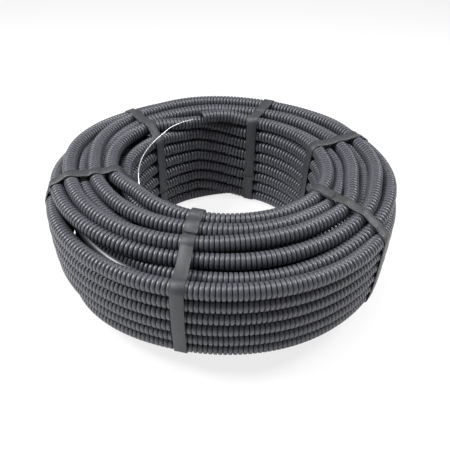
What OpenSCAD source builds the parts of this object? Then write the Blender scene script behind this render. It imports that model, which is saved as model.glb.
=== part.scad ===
// Coil of corrugated electrical conduit, bound by six woven straps, with its draw wire.
// The coil lies flat on its straps. The origin is on the floor at the coil's axis, and +Z points up.

/* [Conduit] */
// Outer diameter of the conduit, over its ribs
tube_d = 20; // [18:0.5:25]
// Depth of the grooves between the ribs
rib_depth = 2; // [1:0.1:2.5]
// Distance from one rib to the next
rib_pitch = 5.5; // [5:0.1:7]
// Width of a rib at its crest
rib_w = 3.6; // [2.4:0.1:4.2]
// Wall thickness of the plastic
wall = 0.8; // [0.5:0.1:1.2]

/* [Coil] */
// Diameter of the open eye in the middle of the coil
eye_d = 260; // [220:5:400]
// Number of layers, counted outwards from the eye
layers = 6; // [4:1:8]
// Number of turns in the innermost layer
inner_turns = 8; // [6:1:10]
// Depth to which the ribs of two turns that lie on each other sink together
nest = 0.2; // [0.1:0.1:0.6]
// Growth of the play between neighbouring layers, from each layer to the next
layer_slack = 0.37; // [0:0.01:0.6]
// Number of outer layers that leave their end turns out, so that the coil's corners are round
short_layers = 2; // [1:1:2]

/* [Free end] */
// Radius of the curve in which the free end springs inwards beyond its strap
end_bend_r = 95; // [80:1:120]
// Angle of that curve
end_bend_deg = 36; // [20:1:50]
// Number of ribs on the straight stretch at the mouth
end_ribs = 5; // [3:1:8]
// Angle at which the free end rises from the coil
end_rise_deg = 8; // [6:0.5:10]
// Angle over which the last turn sinks back into the place below its own
sink_sweep_deg = 56; // [50:1:60]

/* [Straps] */
// Width of a strap
strap_w = 16; // [10:1:25]
// Thickness of a strap
strap_t = 1; // [0.6:0.1:1.5]
// Clearance between a strap and the turns that it binds
strap_gap = 0.6; // [0.4:0.1:0.9]
// Reach of a strap's lapped end over the coil's top, outwards from the innermost turn
lap_length = 42; // [20:1:60]

/* [Draw wire] */
// Diameter of the draw wire
wire_d = 1.6; // [1:0.1:2.4]

/* [Hidden] */

// Angles of the six straps round the coil: front left, left, back left, back right, right, front right
strap_angles = [-102, -168, 142, 72.5, 23, -29];
// The last turn rises from the coil at strap 4, and sinks back into it beyond strap 3
rise_angle = strap_angles[3];
sink_angle = strap_angles[2];

tube_r = tube_d / 2;
groove_r = tube_r - rib_depth;
bore_r = groove_r - wall;
row_pitch = tube_d - nest;
base_z = strap_t + strap_gap;
inner_r = eye_d / 2 + tube_r;
end_straight = end_ribs * rib_pitch;
sink_deg = asin(row_pitch / (inner_r * sin(sink_sweep_deg)));
// The last turn is slightly fuller where it bends under a strap, by half of the strap's clearance
knuckle_r = tube_r + strap_gap / 2;
// Loss of the bore's radius in the bend
bend_squeeze = 0.2;
// Overlap of one cut with the next, and past the mouth
cut_overlap = 1;

// Radius of a layer's turns: hexagonal packing, and a play that grows outwards
function layer_r(layer) = inner_r + layer * row_pitch * sin(60) + layer_slack * layer * layer;
function is_short(layer) = layer >= layers - short_layers;
function is_low(layer) = layer % 2 == 1;
// First and last place taken in a layer. A low layer starts half a turn higher and has one place less.
function first_place(layer) = is_short(layer) ? 1 : 0;
function last_place(layer) = inner_turns - (is_low(layer) || is_short(layer) ? 2 : 1);
function place_z(layer, place) = base_z + tube_r + (place + (is_low(layer) ? 0.5 : 0)) * row_pitch;
function turn_at(layer, place) = [layer_r(layer), place_z(layer, place)];

// The last turn lies in the innermost layer's top place, and the turned coil leaves that place free
last_turn = turn_at(0, last_place(0));
function coiled_place(layer) = last_place(layer) - (layer == 0 ? 1 : 0);

// Centres of the turns that a taut strap could touch: both ends of every layer
end_turns = [
    for (layer = [0 : layers - 1])
        each [turn_at(layer, first_place(layer)), turn_at(layer, last_place(layer))]
];

// Gift wrapping: from each point of the hull the next one leaves all the others on its left
function turn_side(a, b, c) = (b[0] - a[0]) * (c[1] - a[1]) - (b[1] - a[1]) * (c[0] - a[0]);
function sharpest(points, from, best, i = 0) =
    i == len(points) ? best
    : points[i] == from ? sharpest(points, from, best, i + 1)
    : best == from || turn_side(from, best, points[i]) < 0 ? sharpest(points, from, points[i], i + 1)
    : sharpest(points, from, best, i + 1);
function wrap(points, start, from, found) =
    let (next = sharpest(points, from, from))
    next == start ? found : wrap(points, start, next, concat(found, [next]));
hull_start = turn_at(0, first_place(0));
strap_path = wrap(end_turns, hull_start, hull_start, [hull_start]);

// Route of the draw wire: along the free end's bore, out of its mouth, round the eye and down to the floor
wire_route = [
    [23, 142, 149], [7, 142, 151], [-6, 140.5, 152.5], [-18, 137, 154], [-31, 133, 155.5],
    [-44, 128, 157], [-59, 121, 158.5], [-75, 110, 158.5], [-89, 96, 157.5], [-99, 78.5, 156],
    [-110, 57, 154], [-119, 32, 151.5], [-124, 4, 148], [-123, -24, 141], [-115.5, -51, 127],
    [-104, -73, 105], [-90, -89.5, 78], [-76, -101.5, 50], [-63, -109.5, 25], [-52, -114.5, 8],
    [-42, -118, 1.2]
];
// Steps of the swept tube between two points of the route, and the sides of its section
wire_steps = 3;
wire_sides = 8;

module ring(at, radius, turn = 360) {
    rotate_extrude(angle = turn, $fn = 180)
        translate(at) circle(r = radius, $fn = 48);
}

// The coil without its last turn, as one section turned about the axis
module turned_coil() {
    rotate_extrude($fn = 180) {
        for (layer = [0 : layers - 1])
            for (place = [first_place(layer) : coiled_place(layer)])
                translate(turn_at(layer, place)) circle(r = tube_r, $fn = 48);
        for (layer = [0 : layers - 2])
            polygon([
                turn_at(layer, first_place(layer)),
                turn_at(layer + 1, first_place(layer + 1)),
                turn_at(layer + 1, coiled_place(layer + 1)),
                turn_at(layer, coiled_place(layer))
            ]);
    }
}

// Moves its children so that their origin is on the last turn at an angle, and X points outwards
module on_last_turn(angle) {
    rotate([0, 0, angle])
        translate([last_turn[0], 0, last_turn[1]])
            children();
}

// Beyond strap 3 the last turn sinks by one place, and ends inside the turn below the free end
module sinking_turn() {
    on_last_turn(sink_angle)
        rotate([sink_deg, 0, 0])
            translate([-inner_r, 0, 0])
                rotate([0, 0, -sink_sweep_deg])
                    ring([inner_r, 0], tube_r, sink_sweep_deg);
}

// The free end springs inwards and upwards out of the last turn, from under strap 4
module free_end_bend(radius) {
    on_last_turn(rise_angle)
        rotate([end_rise_deg, 0, 0])
            translate([-end_bend_r, 0, 0])
                ring([end_bend_r, 0], radius, end_bend_deg);
}

module free_end_straight() {
    on_last_turn(rise_angle)
        rotate([end_rise_deg, 0, 0])
            translate([-end_bend_r, 0, 0])
                rotate([0, 0, end_bend_deg])
                    translate([end_bend_r, 0, 0])
                        rotate([-90, 0, 0])
                            children();
}

// Ribbed outside of the straight stretch at the mouth, turned from its profile
module ribbed_length() {
    cylinder(r = groove_r, h = end_straight, $fn = 48);
    for (rib = [0 : end_ribs - 1])
        translate([0, 0, (rib + 0.5) * rib_pitch - rib_w / 2])
            cylinder(r = tube_r, h = rib_w, $fn = 48);
}

module conduit() {
    color([0.23, 0.23, 0.25])
    difference() {
        union() {
            turned_coil();
            rotate([0, 0, sink_angle - 360])
                ring(last_turn, tube_r, rise_angle - (sink_angle - 360));
            sinking_turn();
            on_last_turn(sink_angle) sphere(r = knuckle_r, $fn = 48);
            on_last_turn(rise_angle) sphere(r = knuckle_r, $fn = 48);
            free_end_bend(tube_r);
            free_end_straight() ribbed_length();
        }
        free_end_bend(bore_r - bend_squeeze);
        free_end_straight()
            translate([0, 0, -cut_overlap])
                cylinder(r = bore_r, h = end_straight + 2 * cut_overlap, $fn = 48);
    }
}

// Outline of the coil's section drawn round by a taut strap, at a distance from the turns
module taut_outline(distance) {
    reach = tube_r + distance;
    polygon(strap_path);
    for (i = [0 : len(strap_path) - 1]) {
        from = strap_path[i];
        to = strap_path[(i + 1) % len(strap_path)];
        outwards = [to[1] - from[1], from[0] - to[0]] / norm(to - from) * reach;
        translate(from) circle(r = reach, $fn = 96);
        polygon([from, from + outwards, to + outwards, to]);
    }
}

// A closed band, whose lapped end lies on the coil's top from the eye's edge outwards
module strap(angle) {
    color([0.26, 0.27, 0.28])
    rotate([0, 0, angle])
        rotate([90, 0, 0])
            linear_extrude(strap_w, center = true)
                difference() {
                    union() {
                        taut_outline(strap_gap + strap_t);
                        intersection() {
                            taut_outline(strap_gap + 2 * strap_t);
                            translate([0, last_turn[1]]) square([inner_r + lap_length, tube_d]);
                        }
                    }
                    taut_outline(strap_gap);
                }
}

// Catmull-Rom curve through the route, which keeps to the route's own end points
function clamped(points, i) = points[max(0, min(len(points) - 1, i))];
function curve_point(a, b, c, d, t) =
    (2 * b + (c - a) * t + (2 * a - 5 * b + 4 * c - d) * t * t + (3 * b - a - 3 * c + d) * t * t * t) / 2;
function curve(points, steps) = [
    for (i = [0 : len(points) - 2])
        for (step = [0 : steps - 1])
            curve_point(clamped(points, i - 1), points[i], points[i + 1], clamped(points, i + 2), step / steps),
    points[len(points) - 1]
];
function unit(v) = v / norm(v);

// Tube of a few sides swept along a curve, with closed ends
module swept_tube(path, radius, sides) {
    rings = len(path);
    along = [for (i = [0 : rings - 1]) unit(clamped(path, i + 1) - clamped(path, i - 1))];
    points = [
        for (i = [0 : rings - 1])
            let (
                across = unit(cross(along[i], [0, 0, 1])),
                above = cross(across, along[i])
            )
            for (side = [0 : sides - 1])
                path[i] + radius * (cos(360 * side / sides) * across + sin(360 * side / sides) * above)
    ];
    walls = [
        for (i = [0 : rings - 2])
            for (side = [0 : sides - 1])
                let (next = (side + 1) % sides)
                [i * sides + side, i * sides + next, (i + 1) * sides + next, (i + 1) * sides + side]
    ];
    start_cap = [for (side = [sides - 1 : -1 : 0]) side];
    end_cap = [for (side = [0 : sides - 1]) (rings - 1) * sides + side];
    polyhedron(points = points, faces = concat(walls, [start_cap, end_cap]), convexity = 10);
}

module draw_wire() {
    color([0.86, 0.87, 0.88])
    swept_tube(curve(wire_route, wire_steps), wire_d / 2, wire_sides);
}

conduit();
strap(strap_angles[0]);  // strap_1
strap(strap_angles[1]);  // strap_2
strap(strap_angles[2]);  // strap_3
strap(strap_angles[3]);  // strap_4
strap(strap_angles[4]);  // strap_5
strap(strap_angles[5]);  // strap_6
draw_wire();
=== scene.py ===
"""A strapped coil of corrugated conduit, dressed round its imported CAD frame.

The turns are ribbed tubes carried along the winding's own spirals, the straps
are woven bands pulled round them, and a steel draw wire leaves the open end. The
height of the coil's foot and the straps' azimuths come from the frame's boxes.
Turns are placed in tube diameters, the wire in millimetres.
"""

import math

import bpy
import numpy as np
from mathutils import Matrix, Vector


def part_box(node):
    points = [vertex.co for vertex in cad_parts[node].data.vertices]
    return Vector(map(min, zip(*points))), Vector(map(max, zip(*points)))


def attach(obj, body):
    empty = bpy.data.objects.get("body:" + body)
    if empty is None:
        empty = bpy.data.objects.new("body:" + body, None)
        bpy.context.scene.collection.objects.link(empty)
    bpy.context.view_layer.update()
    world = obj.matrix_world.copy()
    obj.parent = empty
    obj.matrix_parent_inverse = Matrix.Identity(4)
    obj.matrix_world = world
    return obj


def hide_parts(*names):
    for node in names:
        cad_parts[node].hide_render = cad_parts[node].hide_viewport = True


bl_info = {
    "name": "Corrugated Conduit Coil",
    "version": (1, 0, 0),
    "blender": (4, 5, 0),
    "location": "3D View > Sidebar > Conduit Coil",
    "description": "Ribbed turns, woven straps and draw wire of a conduit coil",
    "category": "Add Mesh",
}

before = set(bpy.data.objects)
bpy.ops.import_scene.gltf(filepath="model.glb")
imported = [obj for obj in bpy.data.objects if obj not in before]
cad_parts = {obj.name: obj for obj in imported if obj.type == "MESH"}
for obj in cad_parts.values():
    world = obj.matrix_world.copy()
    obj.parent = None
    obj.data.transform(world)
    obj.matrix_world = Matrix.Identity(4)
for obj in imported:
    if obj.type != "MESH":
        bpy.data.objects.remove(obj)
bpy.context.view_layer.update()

# ---------------------------------------------------------------- frame sizes

CONDUIT_LOW, CONDUIT_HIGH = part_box("conduit")
TUBE_D = 0.020  # outside diameter over the ribs
BASE_Z = float(CONDUIT_LOW.z)  # underside of the lowest turns, on the straps
STRAPS = sorted(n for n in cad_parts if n.startswith("strap_"))


def strap_azimuth(node):
    """Angle about the coil's axis of the middle of a strap's box, in degrees."""
    low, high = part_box(node)
    return math.degrees(math.atan2(low.y + high.y, low.x + high.x))


STRAP_AT = {node: strap_azimuth(node) for node in STRAPS}

# --------------------------------------------------------------- winding plan
# Azimuths are in degrees about the coil's axis, and the spirals are given
# going clockwise, so they fall. Radii and heights are in tube diameters.

ROW = 0.99  # rise from one turn to the next above it, ribs meshed a little
FOOT = 0.5  # centre of a turn that lies at the bottom


def place(row):
    """Height of a turn's centre: the foot's height plus row rises."""
    return FOOT + ROW * row


LEAD = [  # the free end, from its mouth back to the strap that holds it
    (108.7, 6.55, 7.975), (102.0, 6.63, 8.00), (97.1, 6.70, 7.98),
    (88.9, 6.865, 7.86), (80.7, 6.97, 7.62), (72.5, 7.03, 7.46),
]
RIM = [  # the rest of the inner layer's top turn
    (54, 7.15, 7.43), (34, 7.2, 7.43), (10, 7.12, 7.43), (-13, 7.08, 7.43),
    (-32, 6.98, 7.45), (-50, 6.93, 7.58), (-70, 6.92, 7.66), (-102, 6.92, 7.66),
    (-130, 6.88, 7.6), (-148, 6.98, 7.5), (-160, 7.5, 7.46),
    (-168, 7.95, 7.45), (-180, 8.2, 7.45), (-196, 8.4, 7.45),
    (-210, 8.3, 7.52), (-219, 7.95, 7.6), (-229, 7.35, 7.6), (-240, 7.03, 7.5),
    (-250, 7.0, 7.43),
]
STEP_DOWN = [(-262, 7.0, 0.36), (-271, 7.0, 0.68), (-280, 7.0, 0.93)]
INNER_TURNS = 8

WEAVE_IN = [  # from under the top, out over it and down on to the outer wall
    (140, 8.3, 6.3), (120, 7.95, 6.85), (100, 7.88, 6.97), (72, 7.9, 6.97),
    (40, 8.05, 6.97), (5, 8.1, 7.0), (-11, 7.95, 7.0), (-29, 7.92, 7.05),
    (-45, 7.85, 7.4), (-58, 7.87, 7.6), (-80, 7.87, 7.65), (-102, 7.92, 7.63),
    (-118, 8.08, 7.55), (-135, 8.3, 7.45), (-152, 8.68, 7.42),
    (-168, 9.12, 7.42), (-180, 9.42, 7.42), (-197, 10.05, 7.42),
    (-210, 10.3, 7.45), (-222, 10.35, 7.5), (-232, 10.35, 7.5),
    (-253, 10.55, 7.5), (-288, 10.45, 7.45), (-308, 10.6, 7.45),
    (-325, 10.75, 7.5), (-337, 10.72, 7.45), (-359, 10.6, 7.45),
    (-371, 10.35, 7.43), (-389, 10.25, 7.25), (-400, 9.98, 7.0),
    (-418, 9.65, 6.85), (-441, 9.55, 6.8), (-462, 9.62, 6.78),
    (-472, 9.9, 6.8), (-489, 10.5, 6.95), (-511, 11.25, 7.0),
    (-522, 11.6, 6.98), (-534, 11.85, 6.85), (-553, 11.95, 6.5),
    (-578, 11.65, 6.1), (-613, 11.55, 5.98), (-648, 11.45, 5.98),
    (-717, 11.55, 5.98), (-745, 11.55, 6.15), (-762, 11.65, 6.45),
    (-785, 11.75, 6.65),
]
OUTER_TURN = [  # azimuth, radius and fall from a front row's height
    (-102, 11.85, 0.0), (-135, 12.0, 0.3), (-158, 12.12, 0.5),
    (-170, 12.08, 0.62), (-193, 11.98, 1.0), (-218, 11.7, 1.5),
    (-253, 11.55, 1.64), (-288, 11.45, 1.64), (-337, 11.45, 1.64),
    (-357, 11.55, 1.64), (-389, 11.58, 1.4), (-405, 11.65, 1.1),
    (-425, 11.75, 0.95),
]
FRONT_TOP, FRONT_ROW = 6.65, 0.95  # the outer wall's rows across the front
OUTER_LOWEST = 1.35  # the outer wall is laid no lower than this before its end
OUTER_TURNS = 6
OUTER_BULGE = [0.0, 0.03, 0.03, 0.0, -0.08, -0.18]  # the wall is barrelled
OUTER_END = [(-135, 11.75, 1.6), (-165, 11.2, 1.45), (-200, 10.8, 1.5)]

OVER_TOP = [  # a second spiral, woven between the two above
    (215, 8.3, 6.5), (200, 8.75, 6.7), (180, 9.0, 6.85), (165, 9.3, 6.93),
    (150, 9.4, 7.1), (139, 9.3, 7.25), (128, 8.95, 7.42), (108, 8.78, 7.5),
    (68, 8.78, 7.45), (53, 9.0, 7.45), (35, 9.05, 7.45), (23, 9.1, 7.45),
    (2, 8.92, 7.45), (-11, 8.78, 7.42), (-29, 9.02, 7.35), (-45, 8.8, 7.42),
    (-65, 8.6, 7.45), (-85, 8.62, 7.43), (-102, 8.95, 7.43),
    (-112, 9.25, 7.43), (-139, 10.0, 7.43), (-152, 10.38, 7.42),
    (-168, 10.8, 7.42), (-175, 11.0, 7.42), (-189, 11.35, 7.43),
    (-205, 11.45, 7.3), (-222, 11.5, 7.05), (-253, 11.45, 6.97),
    (-288, 11.4, 6.97), (-337, 11.45, 6.97), (-363, 11.5, 6.97),
    (-377, 11.3, 6.95), (-391, 11.05, 6.78), (-404, 10.75, 6.45),
    (-425, 10.42, 6.15), (-460, 10.33, 6.08), (-485, 10.2, 5.85),
    (-505, 10.4, 5.8),
]
BETWEEN = [  # the sunk turn between the raised ones
    (140, 10.0, 6.4), (125, 9.75, 6.9), (107, 9.7, 6.97), (72, 9.65, 6.95),
    (48, 9.8, 6.95), (23, 9.9, 6.97), (-3, 9.8, 6.97), (-15, 9.7, 6.95),
    (-29, 9.65, 6.8), (-45, 9.0, 6.55), (-70, 8.45, 6.45), (-102, 8.6, 6.5),
    (-115, 8.9, 6.75), (-135, 9.3, 6.93), (-152, 9.6, 6.98),
    (-168, 9.95, 6.98), (-182, 10.3, 6.98), (-195, 10.8, 6.85),
    (-215, 11.0, 6.5), (-240, 11.0, 6.3),
]
# Radius and height of the rings along the bottom.
BOTTOM_ROWS = [(7.87, 1.0), (8.79, 0.5), (9.74, 1.0), (10.7, 1.5)]
# Radius, height of the lowest and count of the plain rings inside the coil.
HIDDEN_ROWS = [(7.87, 2.0, 4), (8.79, 1.5, 5), (9.6, 2.0, 4), (10.65, 2.5, 4)]


def inner_spiral():
    """Stations of the inner layer: its lead and rim, then seven turns, each a row
    lower, which ride up a little where the turns above leave the layer."""
    stations = LEAD + RIM
    for turn in range(1, INNER_TURNS):
        shift = -360 * (turn - 1)
        top = place(INNER_TURNS - turn)
        stations += [(a + shift, r, top - fall) for a, r, fall in STEP_DOWN]
        low = place(INNER_TURNS - 1 - turn)
        ride = max(0.0, 1.0 - 0.3 * (turn - 1))
        wall = [
            (-300, 7.0, 0.0), (-345, 7.02, 0.0), (-389, 7.0, 0.0),
            (-425, 7.0, 0.0), (-462, 7.0, 0.0), (-495, 6.98, 0.0),
            (-515, 7.0, 0.0), (-530, 7.0 + 0.15 * ride, 0.1 * ride),
            (-545, 7.0 + 0.3 * ride, 0.25 * ride),
            (-563, 7.0 + 0.15 * ride, 0.36 * ride),
            (-580, 7.0 + 0.02 * ride, 0.36 * ride),
            (-597, 7.0, 0.12 * ride), (-610, 7.0, 0.0),
        ]
        stations += [(a + shift, r, low + up) for a, r, up in wall]
    last = -360 * (INNER_TURNS - 1)
    stations += [(last - 268, 7.25, place(0)), (last - 285, 7.75, place(0))]
    return stations


def outer_spiral():
    """Stations of the outer wall: across the top, then down turn by turn."""
    stations = list(WEAVE_IN)
    for turn in range(OUTER_TURNS):
        shift = -720 - 360 * turn
        top = FRONT_TOP - FRONT_ROW * turn
        bulge = OUTER_BULGE[turn]
        rows = OUTER_TURN if turn < OUTER_TURNS - 1 else OUTER_TURN[:1]
        stations += [(a + shift, r + bulge, max(top - f, OUTER_LOWEST)) for a, r, f in rows]
    shift = -720 - 360 * (OUTER_TURNS - 1)
    return stations + [(a + shift, r, z) for a, r, z in OUTER_END]


def smooth_track(stations, step=1.0):
    """Azimuth, radius and height along a spiral, a degree apart: between two
    stations each follows the cubic whose slopes are the chords of their
    neighbours (a Hermite spline over azimuth)."""
    table = np.array(stations, float)
    a = -table[:, 0]  # rising, for interpolation
    steps = max(2, int(round((a[-1] - a[0]) / step)) + 1)
    at = np.linspace(a[0], a[-1], steps)
    slope = np.gradient(table[:, 1:], a, axis=0)
    i = np.clip(np.searchsorted(a, at, side="right") - 1, 0, len(a) - 2)
    h = (a[i + 1] - a[i])[:, None]
    t = ((at - a[i]) / (a[i + 1] - a[i]))[:, None]
    p, q = table[i, 1:], table[i + 1, 1:]
    value = (
        (1 + 2 * t) * (1 - t) ** 2 * p
        + t * (1 - t) ** 2 * h * slope[i]
        + t * t * (3 - 2 * t) * q
        + t * t * (t - 1) * h * slope[i + 1]
    )
    return np.column_stack([-at, value])


def relax(track, seed, reach=0.012):
    """The track with the slight unevenness of a hand-laid turn: three slow waves
    of a few tenths of a millimetre added to its radius and height."""
    rng = np.random.default_rng(seed)
    a = np.radians(track[:, 0])
    out = track.copy()
    for column in (1, 2):
        for waves in (2.3, 5.1, 9.7):
            out[:, column] += reach * np.sin(waves * a + rng.uniform(0, 6.28)) / waves**0.5
    return out


TRACKS = {
    "inner": relax(smooth_track(inner_spiral()), 1, 0.008),
    "outer": relax(smooth_track(outer_spiral()), 2),
    "over": relax(smooth_track(OVER_TOP), 3),
    "between": relax(smooth_track(BETWEEN), 4),
}
for number, (radius, height) in enumerate(BOTTOM_ROWS):
    TRACKS[f"bottom_{number}"] = smooth_track([(180, radius, height), (-180, radius, height)])


def track_points(track):
    """The track in metres: radius times cosine and sine of azimuth, and height."""
    a, r, z = np.radians(track[:, 0]), track[:, 1] * TUBE_D, track[:, 2] * TUBE_D
    return np.column_stack([r * np.cos(a), r * np.sin(a), z + BASE_Z])


# ---------------------------------------------------------------- mesh making


def new_object(name, verts, faces, uv=None, painted_shade=None):
    """A mesh object at the origin from arrays of points and quads, shaded smooth.
    uv, where given, holds a pair for each face corner, and the last argument a share
    of painted shade for each point, from 0 on a crest to 1 deep in the grooves."""
    mesh = bpy.data.meshes.new(name)
    mesh.vertices.add(len(verts))
    mesh.vertices.foreach_set("co", np.asarray(verts, np.float32).ravel())
    faces = np.asarray(faces, np.int32)
    mesh.loops.add(faces.size)
    mesh.loops.foreach_set("vertex_index", faces.ravel())
    mesh.polygons.add(len(faces))
    mesh.polygons.foreach_set("loop_start", np.arange(0, faces.size, 4, dtype=np.int32))
    mesh.polygons.foreach_set("use_smooth", np.ones(len(faces), bool))
    if uv is not None:
        mesh.uv_layers.new(name="UVMap").data.foreach_set(
            "uv", np.asarray(uv, np.float32).ravel()
        )
    # painted shade: a point attribute that the polymer material darkens by
    if painted_shade is not None:
        layer = mesh.attributes.new("painted_shade", "FLOAT", "POINT")
        layer.data.foreach_set("value", np.asarray(painted_shade, np.float32))
    mesh.update(calc_edges=True)
    mesh.validate()
    obj = bpy.data.objects.new(name, mesh)
    bpy.context.scene.collection.objects.link(obj)
    return obj


def grid_faces(rows, sides, first=0, closed=False):
    """Quads of a tube of rings: each joins a point, its neighbour on the ring and
    the same two on the next ring, facing outwards."""
    ring = np.arange(rows if closed else rows - 1)[:, None]
    side = np.arange(sides)[None, :]
    nxt, turn = (ring + 1) % rows, (side + 1) % sides
    quads = np.stack(
        [ring * sides + side, ring * sides + turn, nxt * sides + turn, nxt * sides + side],
        axis=-1,
    )
    return quads.reshape(-1, 4) + first


def resample(points, distances):
    """Points at the given distances along a polyline, and its unit direction there."""
    step = np.linalg.norm(np.diff(points, axis=0), axis=1)
    along = np.concatenate([[0.0], np.cumsum(step)])
    heading = np.gradient(points, along, axis=0)
    at = [np.interp(distances, along, points[:, k]) for k in range(3)]
    way = [np.interp(distances, along, heading[:, k]) for k in range(3)]
    way = np.column_stack(way)
    return np.column_stack(at), way / np.linalg.norm(way, axis=1)[:, None]


def length_of(points):
    return float(np.linalg.norm(np.diff(points, axis=0), axis=1).sum())


# One rib, as parts of its pitch and shares of the rib's depth below its crest: a
# flat crest with rounded shoulders over two thirds of the pitch, then a groove.
RIB_FINE = [(0.05, 1.0), (0.13, 0.3), (0.22, 0.0), (0.78, 0.0), (0.87, 0.3), (0.95, 1.0)]
RIB_PLAIN = [(0.07, 1.0), (0.21, 0.0), (0.79, 0.0), (0.93, 1.0)]


def sweep_rings(points, way, radii, sides):
    """Rings about a path. Each ring is the path point plus the radius times cosine
    of an angle along the level normal plus its sine along the third direction."""
    up = np.array([0.0, 0.0, 1.0])
    level = np.cross(way, up)
    level /= np.linalg.norm(level, axis=1)[:, None]
    third = np.cross(level, way)
    angle = np.arange(sides) * 2 * math.pi / sides
    return (
        points[:, None, :]
        + radii[:, None, None]
        * (
            np.cos(angle)[None, :, None] * level[:, None, :]
            + np.sin(angle)[None, :, None] * third[:, None, :]
        )
    )


def ribbed_tube(points, depth, pitch, sides, rib=RIB_FINE, closed=False, radius=TUBE_D / 2):
    """Rings and quads of a ribbed tube along points: whole ribs are laid along the
    length, and each ring's radius is the tube's less the rib profile's share of the
    depth. Open ends are closed by a ring shrunk to the path."""
    total = length_of(points)
    ribs = max(2, int(round(total / pitch)))
    profile = np.array(rib)
    where = (np.arange(ribs)[:, None] + profile[:, 0][None, :]).ravel() * total / ribs
    # painted shade: the profile's share of the depth also sets how far each point is darkened,
    # fully in the grooves
    share = np.tile(profile[:, 1], ribs)
    radii = radius - depth * share
    at, way = resample(points, where)
    if not closed:
        at = np.concatenate([at[:1], at, at[-1:]])
        way = np.concatenate([way[:1], way, way[-1:]])
        radii = np.concatenate([[1e-5], radii, [1e-5]])
        # painted shade: the points that close the ends are darkened fully
        share = np.concatenate([[1.0], share, [1.0]])
    rings = sweep_rings(at, way, radii, sides).reshape(-1, 3)
    return rings, grid_faces(len(at), sides, closed=closed), np.repeat(share, sides)


def joined(name, parts):
    """One object from several (points, quads, groove) parts."""
    firsts = np.cumsum([0] + [len(points) for points, _, _ in parts[:-1]])
    return new_object(
        name,
        np.concatenate([points for points, _, _ in parts]),
        np.concatenate([quads + n for (_, quads, _), n in zip(parts, firsts)]),
        painted_shade=np.concatenate([painted_shade for _, _, painted_shade in parts]),
    )


def part_of(track, start, end):
    """The stretch of a track between two azimuths, start above end."""
    keep = (track[:, 0] <= start) & (track[:, 0] >= end)
    return track[keep]


# ------------------------------------------------------------------ materials


def linear(code):
    """An sRGB hex colour as linear red, green, blue and alpha."""
    parts = [int(code[i : i + 2], 16) / 255 for i in (1, 3, 5)]
    return [c / 12.92 if c <= 0.04045 else ((c + 0.055) / 1.055) ** 2.4 for c in parts] + [1.0]


def add_node(tree, kind, settings=(), **links):
    """A node of that kind, with settings as (name, value) pairs for properties or
    inputs, and links from input names to output sockets."""
    node = tree.nodes.new(kind)
    for name, value in settings:
        if hasattr(node, name):
            setattr(node, name, value)
        else:
            node.inputs[name].default_value = value
    for name, socket in links.items():
        tree.links.new(socket, node.inputs[name.replace("_", " ")])
    return node


def new_material(name):
    """A material with an empty tree but for its output and a Principled shader."""
    material = bpy.data.materials.new(name)
    material.use_nodes = True
    tree = material.node_tree
    return material, tree, tree.nodes["Principled BSDF"]


def moulded_polymer(name, colour, pale, painted_shade_colour, roughness):
    """Corrugated polypropylene, run hot from the extruder into travelling mould
    blocks. The blocks leave a satin skin, faintly clouded. The colour is darkened
    towards a near-black by a point attribute: painted shade in the grooves, deep in
    the bore and on the hidden turns, where the ribs and turns keep the light out;
    the gloss comes in soft bars across each rib."""
    material, tree, shader = new_material(name)
    place_in = add_node(tree, "ShaderNodeTexCoord").outputs["Object"]
    cloud = add_node(  # uneven cooling, about 40 mm across
        tree, "ShaderNodeTexNoise", [("Scale", 25.0), ("Detail", 3.0)], Vector=place_in
    )
    tone = add_node(tree, "ShaderNodeMix", [("data_type", "RGBA")])
    tone.inputs[6].default_value = linear(colour)
    tone.inputs[7].default_value = linear(pale)
    tree.links.new(cloud.outputs["Fac"], tone.inputs[0])
    # painted shade: the point attribute mixes the clouded colour towards the near-black shade
    # colour in grooves, bore and hidden turns
    painted_shade = add_node(tree, "ShaderNodeAttribute", [("attribute_name", "painted_shade")])
    deep = add_node(tree, "ShaderNodeMix", [("data_type", "RGBA")])
    deep.inputs[7].default_value = linear(painted_shade_colour)
    tree.links.new(painted_shade.outputs["Fac"], deep.inputs[0])
    tree.links.new(tone.outputs[2], deep.inputs[6])
    tree.links.new(deep.outputs[2], shader.inputs["Base Color"])
    skin = add_node(  # mould-block texture, about 0.7 mm, coarser than life
        tree, "ShaderNodeTexNoise", [("Scale", 1400.0), ("Detail", 2.0)], Vector=place_in
    )
    sheen = add_node(
        tree, "ShaderNodeMapRange",
        [("To Min", roughness - 0.06), ("To Max", roughness + 0.10)],
        Value=cloud.outputs["Fac"],
    )
    tree.links.new(sheen.outputs["Result"], shader.inputs["Roughness"])
    bump = add_node(
        tree, "ShaderNodeBump", [("Strength", 0.12), ("Distance", 0.0001)],
        Height=skin.outputs["Fac"],
    )
    tree.links.new(bump.outputs["Normal"], shader.inputs["Normal"])
    shader.inputs["IOR"].default_value = 1.49
    return material


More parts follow.
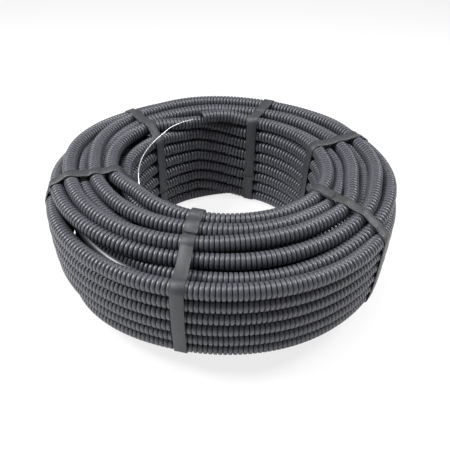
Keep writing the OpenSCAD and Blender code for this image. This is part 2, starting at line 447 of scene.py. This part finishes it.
def woven_band(name, colour, pale):
    """Polypropylene strapping cloth, woven as a fine twill: matt, with slanting
    ribs across the band that catch the light where it bends."""
    material, tree, shader = new_material(name)
    uv = add_node(tree, "ShaderNodeTexCoord").outputs["UV"]
    turned = add_node(
        tree, "ShaderNodeMapping", [("Rotation", (0.0, 0.0, math.radians(45)))], Vector=uv
    )
    twill = add_node(  # slanting ribs 1.6 mm apart, drawn coarser than the 0.8 mm weave
        tree, "ShaderNodeTexWave",
        [("wave_type", "BANDS"), ("bands_direction", "X"), ("Scale", 200.0),
         ("Distortion", 0.6), ("Detail", 1.0)],
        Vector=turned.outputs["Vector"],
    )
    cross = add_node(
        tree, "ShaderNodeTexWave",
        [("wave_type", "BANDS"), ("bands_direction", "Y"), ("Scale", 300.0)],
        Vector=turned.outputs["Vector"],
    )
    both = add_node(tree, "ShaderNodeMath", [("operation", "MULTIPLY")])
    tree.links.new(twill.outputs["Fac"], both.inputs[0])
    tree.links.new(cross.outputs["Fac"], both.inputs[1])
    tone = add_node(tree, "ShaderNodeMix", [("data_type", "RGBA")])
    tone.inputs[6].default_value = linear(colour)
    tone.inputs[7].default_value = linear(pale)
    tree.links.new(both.outputs[0], tone.inputs[0])
    tree.links.new(tone.outputs[2], shader.inputs["Base Color"])
    bump = add_node(
        tree, "ShaderNodeBump", [("Strength", 0.5), ("Distance", 0.0003)],
        Height=both.outputs[0],
    )
    tree.links.new(bump.outputs["Normal"], shader.inputs["Normal"])
    shader.inputs["Roughness"].default_value = 0.5
    shader.inputs["IOR"].default_value = 1.49
    return material


def drawn_wire(name, colour):
    """Galvanised steel draw wire: bright drawn metal, streaked along its length."""
    material, tree, shader = new_material(name)
    place_in = add_node(tree, "ShaderNodeTexCoord").outputs["Object"]
    streak = add_node(
        tree, "ShaderNodeTexNoise", [("Scale", 220.0), ("Detail", 2.0)], Vector=place_in
    )
    rough = add_node(
        tree, "ShaderNodeMapRange", [("To Min", 0.28), ("To Max", 0.48)],
        Value=streak.outputs["Fac"],
    )
    tree.links.new(rough.outputs["Result"], shader.inputs["Roughness"])
    shader.inputs["Base Color"].default_value = linear(colour)
    shader.inputs["Metallic"].default_value = 0.85
    return material


# ----------------------------------------------------------------- properties


class CoilTurnSettings(bpy.types.PropertyGroup):
    rib_pitch: bpy.props.FloatProperty(
        name="Rib pitch", description="Distance from one rib to the next",
        default=0.0058, unit="LENGTH",
    )
    rib_depth: bpy.props.FloatProperty(
        name="Rib depth", description="Height of a rib's crest over its groove",
        default=0.0019, unit="LENGTH",
    )
    sides: bpy.props.IntProperty(
        name="Sides", description="Facets round a turn in sight", default=16, min=8, max=24
    )
    bore: bpy.props.FloatProperty(
        name="Bore", description="Inside diameter at the open end",
        default=0.0144, unit="LENGTH",
    )
    colour: bpy.props.StringProperty(
        name="Colour", description="sRGB colour of the polymer", default="#414248"
    )
    pale: bpy.props.StringProperty(
        name="Clouding", description="sRGB colour of the paler clouding", default="#4a4b52"
    )
    # painted shade: the near-black mixed into the polymer in the grooves, the bore and the
    # hidden turns
    painted_shade_colour: bpy.props.StringProperty(
        name="Painted shade", description="sRGB colour of the painted shade in the grooves", default="#141416"
    )
    roughness: bpy.props.FloatProperty(
        name="Roughness", description="Roughness of the satin skin",
        default=0.37, subtype="FACTOR",
    )


class CoilStrapSettings(bpy.types.PropertyGroup):
    width: bpy.props.FloatProperty(
        name="Width", description="Width of a strap", default=0.016, unit="LENGTH"
    )
    thickness: bpy.props.FloatProperty(
        name="Thickness", description="Thickness of a strap", default=0.001, unit="LENGTH"
    )
    gap: bpy.props.FloatProperty(
        name="Gap", description="Space between strap and turns",
        default=0.0004, unit="LENGTH",
    )
    slack: bpy.props.FloatProperty(
        name="Slack", description="Sag of a strap between turns, as a share of the span",
        default=0.05, subtype="FACTOR",
    )
    colour: bpy.props.StringProperty(
        name="Colour", description="sRGB colour of the cloth", default="#28292b"
    )
    pale: bpy.props.StringProperty(
        name="Twill colour", description="sRGB colour of the raised threads",
        default="#4a4c4f",
    )


class DrawWireSettings(bpy.types.PropertyGroup):
    diameter: bpy.props.FloatProperty(
        name="Diameter", description="Diameter of the wire", default=0.0016, unit="LENGTH"
    )
    colour: bpy.props.StringProperty(
        name="Colour", description="sRGB colour of the zinc", default="#dcdedf"
    )


class CoilStageSettings(bpy.types.PropertyGroup):
    floor_colour: bpy.props.StringProperty(
        name="Floor", description="sRGB colour of the floor", default="#f4f4f4"
    )
    lens: bpy.props.FloatProperty(
        name="Lens", description="Focal length in millimetres", default=38.96, subtype="NONE"
    )


# ------------------------------------------------------------------ operators


def dress(obj, material, nodes):
    """Gives a piece its material and body, and hides the nodes it stands for."""
    obj.data.materials.clear()
    obj.data.materials.append(material)
    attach(obj, "root")
    if nodes:
        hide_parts(*nodes)
    return obj


def conduit_polymer(context):
    """The turns' shared material, made once."""
    s = context.scene.coil_turns
    return bpy.data.materials.get("Moulded polypropylene") or moulded_polymer(
        "Moulded polypropylene", s.colour, s.pale, s.painted_shade_colour, s.roughness
    )


def turn_part(context, points, closed=False, rib=RIB_FINE, sides=None):
    """A stretch of ribbed conduit along points."""
    s = context.scene.coil_turns
    return ribbed_tube(points, s.rib_depth, s.rib_pitch, sides or s.sides, rib, closed)


def open_end(context, track):
    """The mouth: the cut face between the tube and its bore, and the bore's wall
    down to where the first turn hides it, then its floor."""
    s = context.scene.coil_turns
    points = track_points(track)
    depths = np.array([-0.0006, -0.0006, 0.0, 0.0, 0.0008, 0.004, 0.012, 0.03, 0.06, 0.06])
    outer, bore = TUBE_D / 2 - s.rib_depth, s.bore / 2
    radii = np.array([outer - 0.0002, outer - 0.0004, bore + 0.0006, bore + 0.0002,
                      bore, bore, bore, bore, bore, 1e-5])
    at, way = resample(points, np.maximum(depths, 0.0))
    at = at + way * np.minimum(depths, 0.0)[:, None]
    rings = sweep_rings(at, way, radii, s.sides).reshape(-1, 3)
    # painted shade: the bore darkens with depth, from none on the cut face to full 20 mm in
    share = np.repeat(np.clip(depths / 0.02, 0.0, 1.0), s.sides)
    return rings, grid_faces(len(at), s.sides), share


class COIL_OT_draw_wire(bpy.types.Operator):
    """Makes the steel draw wire that leaves the open end and hangs in the eye"""

    bl_idname = "coil.draw_wire"
    bl_label = "Draw wire"

    def execute(self, context):
        s = context.scene.draw_wire
        route = smooth_route(WIRE_ROUTE)
        total = length_of(route)
        at, way = resample(route, np.linspace(0, total, 200))
        radii = np.full(len(at), s.diameter / 2)
        radii[0] = radii[-1] = 1e-5
        at[1] = at[0]
        at[-2] = at[-1]
        rings = sweep_rings(at, way, radii, 10)
        wire = new_object("draw_wire_steel", rings.reshape(-1, 3), grid_faces(len(at), 10))
        dress(wire, drawn_wire("Galvanised steel wire", s.colour), ["draw_wire"])
        return {"FINISHED"}


# The wire's route in millimetres, as the source has it: from inside the lead,
# round the eye's back and left, and down to the foot of the coil.
WIRE_ROUTE = [
    (23, 142, 149), (7, 142, 151), (-6, 140.5, 152.5), (-18, 137, 154),
    (-31, 133, 155.5), (-44, 128, 157), (-59, 121, 158.5), (-75, 110, 158.5),
    (-89, 96, 157.5), (-99, 78.5, 156), (-110, 57, 154), (-119, 32, 151.5),
    (-124, 4, 148), (-123, -24, 141), (-115.5, -51, 127), (-104, -73, 105),
    (-90, -89.5, 78), (-76, -101.5, 50), (-63, -109.5, 25), (-52, -114.5, 8),
    (-42, -118, 1.2),
]


def smooth_route(route, per_span=8):
    """A curve through the route's points, in metres: on each span the cubic whose
    slopes are half the chords between the neighbours (Catmull and Rom's)."""
    p = np.array(route, float) / 1000
    ends = np.concatenate([[2 * p[0] - p[1]], p, [2 * p[-1] - p[-2]]])
    a, b, c, d = ends[:-3, None], ends[1:-2, None], ends[2:-1, None], ends[3:, None]
    t = np.arange(per_span)[None, :, None] / per_span
    spans = 0.5 * (
        2 * b + (c - a) * t + (2 * a - 5 * b + 4 * c - d) * t**2
        + (3 * b - a - 3 * c + d) * t**3
    )
    return np.concatenate([spans.reshape(-1, 3), p[-1:]])


BEYOND = 1e5  # an azimuth past the end of any track
INNER_CUT = -1370  # azimuth where the inner layer is parted into two pieces
OUTER_CUTS = [BEYOND, -938, -1658, -2300, -BEYOND]  # and the outer spiral into four
OUTER_NAMES = ["outer_turns_top", "outer_turns_upper", "outer_turns_middle", "outer_turns_foot"]


class COIL_OT_inner_turns(bpy.types.Operator):
    """Winds the inner layer, whose turns wall the eye, from the open end down"""

    bl_idname = "coil.inner_turns"
    bl_label = "Inner turns"

    def execute(self, context):
        track = TRACKS["inner"]
        upper = part_of(track, BEYOND, INNER_CUT)
        lower = part_of(track, INNER_CUT, -BEYOND)
        material = conduit_polymer(context)
        parts = [turn_part(context, track_points(upper)), open_end(context, upper)]
        # the tube's own end ring is left open for the mouth: its cap quads go
        verts, quads, painted_shade = parts[0]
        parts[0] = (verts, quads[context.scene.coil_turns.sides :], painted_shade)
        dress(joined("inner_turns_upper", parts), material, ["conduit"])
        dress(
            joined("inner_turns_lower", [turn_part(context, track_points(lower))]),
            material, ["conduit"],
        )
        return {"FINISHED"}


class COIL_OT_top_turns(bpy.types.Operator):
    """Winds the turns that cross the top, between the eye and the outer wall"""

    bl_idname = "coil.top_turns"
    bl_label = "Top turns"

    def execute(self, context):
        parts = [
            turn_part(context, track_points(TRACKS["over"])),
            turn_part(context, track_points(TRACKS["between"])),
        ]
        dress(
            joined("top_turns", parts), conduit_polymer(context),
            ["conduit"],
        )
        return {"FINISHED"}


class COIL_OT_outer_turns(bpy.types.Operator):
    """Winds the spiral that crosses the top and goes down the outer wall"""

    bl_idname = "coil.outer_turns"
    bl_label = "Outer turns"

    def execute(self, context):
        track = TRACKS["outer"]
        for name, start, end in zip(OUTER_NAMES, OUTER_CUTS, OUTER_CUTS[1:]):
            piece = part_of(track, start, end)
            dress(
                joined(name, [turn_part(context, track_points(piece))]),
                conduit_polymer(context), ["conduit"],
            )
        return {"FINISHED"}


BOTTOM_SIDES, HIDDEN_SIDES = 12, 8
HIDDEN_RADIUS = 0.45 * TUBE_D  # slim, to keep behind the turns in sight
HIDDEN_STEP = 5.0  # degrees between their rings


class COIL_OT_under_turns(bpy.types.Operator):
    """Winds the bottom turns, and the plain ones that the others hide"""

    bl_idname = "coil.under_turns"
    bl_label = "Under turns"

    def execute(self, context):
        parts = [
            turn_part(context, track_points(TRACKS[name])[:-1], True, RIB_PLAIN, BOTTOM_SIDES)
            for name in sorted(TRACKS) if name.startswith("bottom")
        ]
        for radius, foot, rows in HIDDEN_ROWS:
            for row in range(rows):
                height = foot + ROW * row
                ends = [(180, radius, height), (-180, radius, height)]
                points = track_points(smooth_track(ends, HIDDEN_STEP))[:-1]
                loop = np.concatenate([points, points[:1]])
                shares = np.linspace(0, 1, len(points), endpoint=False)
                at, way = resample(loop, shares * length_of(loop))
                radii = np.full(len(at), HIDDEN_RADIUS)
                rings = sweep_rings(at, way, radii, HIDDEN_SIDES).reshape(-1, 3)
                quads = grid_faces(len(at), HIDDEN_SIDES, closed=True)
                # painted shade: the hidden rings are darkened at half strength
                parts.append((rings, quads, np.full(len(rings), 0.5)))
        dress(
            joined("under_turns", parts), conduit_polymer(context),
            ["conduit"],
        )
        return {"FINISHED"}


# How far each strap has slid round the coil from its place, at the eye and at the
# outer wall, in degrees.
SLIDES = {
    "strap_1": (-2.4, 0.5), "strap_2": (1.0, 1.5), "strap_3": (2.0, -7.5),
    "strap_4": (0.0, -2.5), "strap_5": (-3.0, 1.0), "strap_6": (-1.0, -5.5),
}
EYE_R, WALL_R = 6.5 * TUBE_D, 12.2 * TUBE_D
# In metres: the shortest span that sags, the step along a sagging span, the lowest
# a strap goes, and the step along a strap.
SAG_SPAN, SAG_STEP, STRAP_LOWEST, STRAP_STEP = 0.008, 0.001, 0.0011, 0.0015
SAG_PASSES = 12
LOOP_DIRECTIONS = 1440


def lay_of(node, radius):
    """A strap's azimuth at a radius: from its slide at the eye to that at the wall,
    in a straight line."""
    eye, wall = SLIDES[node]
    share = np.clip((radius - EYE_R) / (WALL_R - EYE_R), 0.0, 1.0)
    return STRAP_AT[node] + eye + (wall - eye) * share


def turns_at(node, spread=1.6):
    """Radius and height, in metres, of every turn that a strap crosses, also a
    little before and after it."""
    found = []
    for track in TRACKS.values():
        for side in (-spread, 0.0, spread):
            middle = STRAP_AT[node] + side
            first = math.ceil((track[-1, 0] - middle) / 360)
            last = math.floor((track[0, 0] - middle) / 360)
            at = middle + 360 * np.arange(first, last + 1)
            if len(at):
                r = np.interp(-at, -track[:, 0], track[:, 1])
                at = at + lay_of(node, r * TUBE_D) - STRAP_AT[node]
                r = np.interp(-at, -track[:, 0], track[:, 1])
                z = np.interp(-at, -track[:, 0], track[:, 2])
                found.append(np.column_stack([r * TUBE_D, z * TUBE_D + BASE_Z]))
    return np.concatenate(found)


def sagged(loop, centres, clear, slack):
    """The loop with each straight span over the top let in a little: by a parabola
    as deep at mid-span as slack times the span, but never into a turn."""
    out = []
    step = np.linalg.norm(np.diff(loop, axis=0), axis=1)
    for start, end, span in zip(loop[:-1], loop[1:], step):
        out.append(start[None, :])
        if span < SAG_SPAN:
            continue
        u = np.linspace(0, 1, int(span / SAG_STEP) + 2)[1:-1, None]
        line = start + (end - start) * u
        inward = np.array([-(end - start)[1], (end - start)[0]]) / span
        depth = slack * span * 4 * u * (1 - u) * max(0.0, -inward[1])
        for _ in range(SAG_PASSES):  # drawn back until every turn is cleared
            moved = line + inward * depth
            away = moved[:, None, :] - centres[None, :, :]
            near = np.sqrt((away**2).sum(axis=2)).min(axis=1)[:, None]
            depth = np.maximum(depth - np.maximum(TUBE_D / 2 + clear - near, 0.0), 0.0)
        out.append(line + inward * depth)
    out.append(loop[-1:])
    return np.concatenate(out)


def taut_loop(node, clear, slack):
    """The loop of a band pulled round the turns: for each direction the point of the
    turns furthest that way, moved out by the tube's radius and the clearance. Where
    the furthest turn changes the band runs on straight, and sags a little over the
    top. Gives points, outward normals and distances along the loop, in the plane of
    radius and height."""
    centres = turns_at(node)
    angle = np.linspace(0, 2 * math.pi, LOOP_DIRECTIONS, endpoint=False)
    normal = np.column_stack([np.cos(angle), np.sin(angle)])
    furthest = np.argmax(centres @ normal.T, axis=0)
    points = centres[furthest] + (TUBE_D / 2 + clear) * normal
    points[:, 1] = np.maximum(points[:, 1], STRAP_LOWEST)
    loop = sagged(np.concatenate([points, points[:1]]), centres, clear, slack)
    step = np.linalg.norm(np.diff(loop, axis=0), axis=1)
    along = np.concatenate([[0.0], np.cumsum(step)])
    count = int(along[-1] / STRAP_STEP)
    at = np.linspace(0, along[-1], count, endpoint=False)
    out = np.column_stack([np.interp(at, along, loop[:, 0]), np.interp(at, along, loop[:, 1])])
    way = np.roll(out, -1, axis=0) - np.roll(out, 1, axis=0)
    way /= np.linalg.norm(way, axis=1)[:, None]
    return out, np.column_stack([way[:, 1], -way[:, 0]]), at


def band(points, normals, along, azimuths, width, thickness, closed):
    """A flat band carried along a loop of radii and heights, each point at its own
    azimuth. Its section is a rectangle with rounded edges, eight points round. Gives
    points, quads and UVs in metres, along and across the band."""
    a, level = np.radians(azimuths), np.zeros(len(points))
    radial = np.column_stack([np.cos(a), np.sin(a), level])
    across = np.column_stack([-np.sin(a), np.cos(a), level])
    upward = np.array([0.0, 0.0, 1.0])
    w, t = width / 2, thickness
    section = np.array(
        [(-w, 0.3 * t), (-w + 0.3 * t, 0.0), (w - 0.3 * t, 0.0), (w, 0.3 * t),
         (w, 0.7 * t), (w - 0.3 * t, t), (-w + 0.3 * t, t), (-w, 0.7 * t)]
    )
    base = points[:, :1] * radial + points[:, 1:] * upward
    out = normals[:, :1] * radial + normals[:, 1:] * upward
    verts = (
        base[:, None, :]
        + section[None, :, :1] * across[:, None, :]
        + section[None, :, 1:] * out[:, None, :]
    )
    rows, sides = len(points), len(section)
    quads = grid_faces(rows, sides, closed=closed)[:, ::-1]
    v = np.where(section[:, 1] > 0.5 * t, section[:, 0], -section[:, 0])
    u_at = np.tile(along[:, None], (1, sides)).ravel()
    v_at = np.tile(v[None, :], (rows, 1)).ravel()
    uv = np.stack([u_at[quads], v_at[quads]], axis=-1)
    if closed:  # the last row's far corners run on past the loop's length
        length = along[-1] + along[1] - along[0]
        wrap = uv[..., 0].max(axis=1) - uv[..., 0].min(axis=1) > 0.5 * length
        far = wrap[:, None] & (uv[..., 0] < 0.5 * length)
        uv[..., 0] = np.where(far, uv[..., 0] + length, uv[..., 0])
    verts = verts.reshape(-1, 3)
    if not closed:  # flat caps: the section's eight points as three quads
        for start, turned in ((0, False), ((rows - 1) * sides, True)):
            cap = np.array([[0, 7, 6, 1], [1, 6, 5, 2], [2, 5, 4, 3]])
            cap = (cap[:, ::-1] if turned else cap) + start
            quads = np.concatenate([quads, cap])
            uv = np.concatenate([uv, np.stack([u_at[cap], v_at[cap]], axis=-1)])
    return verts, quads, uv


# Where a strap is doubled, as parts of the way round its loop from its outer
# middle over the top: start and end, and how far the doubled end is turned aside.
LAP = (0.60, 0.68)
LAPS = {"strap_1": (0.235, 0.47), "strap_6": (0.30, 0.40)}
LAP_ASIDE = 0.3  # degrees
SLACKS = {"strap_1": 0.11}  # straps that are slacker over the top than the rest


class COIL_OT_straps(bpy.types.Operator):
    """Pulls the six woven straps round the coil, each with its lapped end"""

    bl_idname = "coil.straps"
    bl_label = "Straps"

    def execute(self, context):
        s = context.scene.coil_straps
        material = woven_band("Woven polypropylene strap", s.colour, s.pale)
        for node in STRAPS:
            points, normals, along = taut_loop(node, s.gap, SLACKS.get(node, s.slack))
            lay = lay_of(node, points[:, 0])
            verts, quads, uv = band(
                points, normals, along, lay, s.width, s.thickness, True
            )
            start, end = LAPS.get(node, LAP)
            keep = (along >= start * along[-1]) & (along <= end * along[-1])
            lift = np.linspace(0, 1, int(keep.sum()))[:, None] ** 4 * s.thickness
            lap_points = points[keep] + normals[keep] * (1.1 * s.thickness + lift[::-1])
            more = band(lap_points, normals[keep], along[keep], lay[keep] + LAP_ASIDE,
                        s.width, s.thickness, False)
            faces = np.concatenate([quads, more[1] + len(verts)])
            strap = new_object(
                node + "_woven", np.concatenate([verts, more[0]]), faces,
                np.concatenate([uv, more[2]]),
            )
            dress(strap, material, [node])
        return {"FINISHED"}


def area_light(name, at, aim, size, power):
    """A square soft light aimed at a point."""
    data = bpy.data.lights.new(name, "AREA")
    data.shape, data.size, data.energy = "SQUARE", size, power
    lamp = bpy.data.objects.new(name, data)
    bpy.context.scene.collection.objects.link(lamp)
    lamp.location = at
    lamp.rotation_mode = "QUATERNION"
    lamp.rotation_quaternion = (Vector(aim) - Vector(at)).to_track_quat("-Z", "Y")
    return lamp


def shown_white(tree):
    """One for the rays that show the surroundings, straight or through something
    clear, and nothing for the rest."""
    path = add_node(tree, "ShaderNodeLightPath")
    some = add_node(tree, "ShaderNodeMath", [("operation", "MAXIMUM")])
    tree.links.new(path.outputs["Is Camera Ray"], some.inputs[0])
    tree.links.new(path.outputs["Is Transmission Ray"], some.inputs[1])
    return some.outputs[0]


CAMERA_AT, CAMERA_PITCH, CAMERA_ROLL = (0, -0.599, 0.514), math.radians(38.34), 0.0279
LAMPS_AIM = (0, 0, 0.1)
FLOOR_HALF = 6  # metres from the middle to an edge
FLOOR_SHOWN = 0.8  # share of plain white in it; the rest keeps the coil's shadow
SOFT_FILL = 0.25  # strength of the surroundings as a light


class COIL_OT_stage(bpy.types.Operator):
    """Sets the camera, the pale floor, the soft lights and the white surroundings"""

    bl_idname = "coil.stage"
    bl_label = "Stage"

    def execute(self, context):
        s = context.scene.coil_stage
        scene = context.scene
        data = bpy.data.cameras.new("Camera")
        data.lens, data.sensor_width = s.lens, 36.0
        camera = bpy.data.objects.new("Camera", data)
        scene.collection.objects.link(camera)
        pitch, roll = CAMERA_PITCH, CAMERA_ROLL
        ahead = Vector((0, math.cos(pitch), -math.sin(pitch)))
        right, up = Vector((1, 0, 0)), Vector((0, math.sin(pitch), math.cos(pitch)))
        leaned = right * math.cos(roll) + up * math.sin(roll)
        raised = up * math.cos(roll) - right * math.sin(roll)
        turn = Matrix((leaned, raised, -ahead)).transposed()
        camera.matrix_world = Matrix.Translation(CAMERA_AT) @ turn.to_4x4()
        scene.camera = camera
        scene.view_settings.view_transform = "Standard"

        floor = new_object(
            "floor",
            FLOOR_HALF * np.array([(-1, -1, 0), (1, -1, 0), (1, 1, 0), (-1, 1, 0)], float),
            np.array([[0, 1, 2, 3]]),
        )
        material, tree, shader = new_material("Matt white floor")
        shader.inputs["Roughness"].default_value = 0.9
        shader.inputs["Base Color"].default_value = linear(s.floor_colour)
        plain = add_node(tree, "ShaderNodeEmission", [("Color", (1, 1, 1, 1))])
        mix = add_node(tree, "ShaderNodeMixShader")
        grade = add_node(tree, "ShaderNodeMath", [("operation", "MULTIPLY")])
        grade.inputs[1].default_value = FLOOR_SHOWN
        tree.links.new(shown_white(tree), grade.inputs[0])
        tree.links.new(grade.outputs[0], mix.inputs[0])
        tree.links.new(shader.outputs[0], mix.inputs[1])
        tree.links.new(plain.outputs[0], mix.inputs[2])
        tree.links.new(mix.outputs[0], tree.nodes["Material Output"].inputs["Surface"])
        floor.data.materials.append(material)

        world = bpy.data.worlds.new("Studio")
        scene.world = world
        world.use_nodes = True
        tree = world.node_tree
        dim, white = (
            add_node(
                tree, "ShaderNodeBackground",
                [("Color", (1, 1, 1, 1)), ("Strength", strength)],
            )
            for strength in (SOFT_FILL, 1.0)
        )
        mix = add_node(tree, "ShaderNodeMixShader")
        tree.links.new(shown_white(tree), mix.inputs[0])
        tree.links.new(dim.outputs[0], mix.inputs[1])
        tree.links.new(white.outputs[0], mix.inputs[2])
        tree.links.new(mix.outputs[0], tree.nodes["World Output"].inputs["Surface"])

        area_light("Key over the left", (-1.1, -0.1, 1.15), LAMPS_AIM, 0.45, 30)
        area_light("Right side", (1.1, 0.3, 1.1), LAMPS_AIM, 0.5, 20)
        area_light("Overhead", (0.0, -0.1, 1.6), LAMPS_AIM, 0.5, 12)
        return {"FINISHED"}


class COIL_PT_panel(bpy.types.Panel):
    bl_label = "Conduit Coil"
    bl_idname = "COIL_PT_panel"
    bl_space_type = "VIEW_3D"
    bl_region_type = "UI"
    bl_category = "Conduit Coil"

    def draw(self, context):
        for operator in OPERATORS:
            self.layout.operator(operator.bl_idname)


OPERATORS = [
    COIL_OT_stage, COIL_OT_draw_wire, COIL_OT_inner_turns, COIL_OT_top_turns,
    COIL_OT_outer_turns, COIL_OT_under_turns, COIL_OT_straps,
]
GROUPS = {
    "coil_turns": CoilTurnSettings, "coil_straps": CoilStrapSettings,
    "draw_wire": DrawWireSettings, "coil_stage": CoilStageSettings,
}


def register():
    for cls in [*GROUPS.values(), *OPERATORS, COIL_PT_panel]:
        bpy.utils.register_class(cls)
    for name, group in GROUPS.items():
        setattr(bpy.types.Scene, name, bpy.props.PointerProperty(type=group))


def unregister():
    for name in GROUPS:
        delattr(bpy.types.Scene, name)
    for cls in reversed([*GROUPS.values(), *OPERATORS, COIL_PT_panel]):
        bpy.utils.unregister_class(cls)


def main():
    register()
    for operator in OPERATORS:
        group, name = operator.bl_idname.split(".")
        getattr(getattr(bpy.ops, group), name)()


if __name__ == "__main__":
    main()
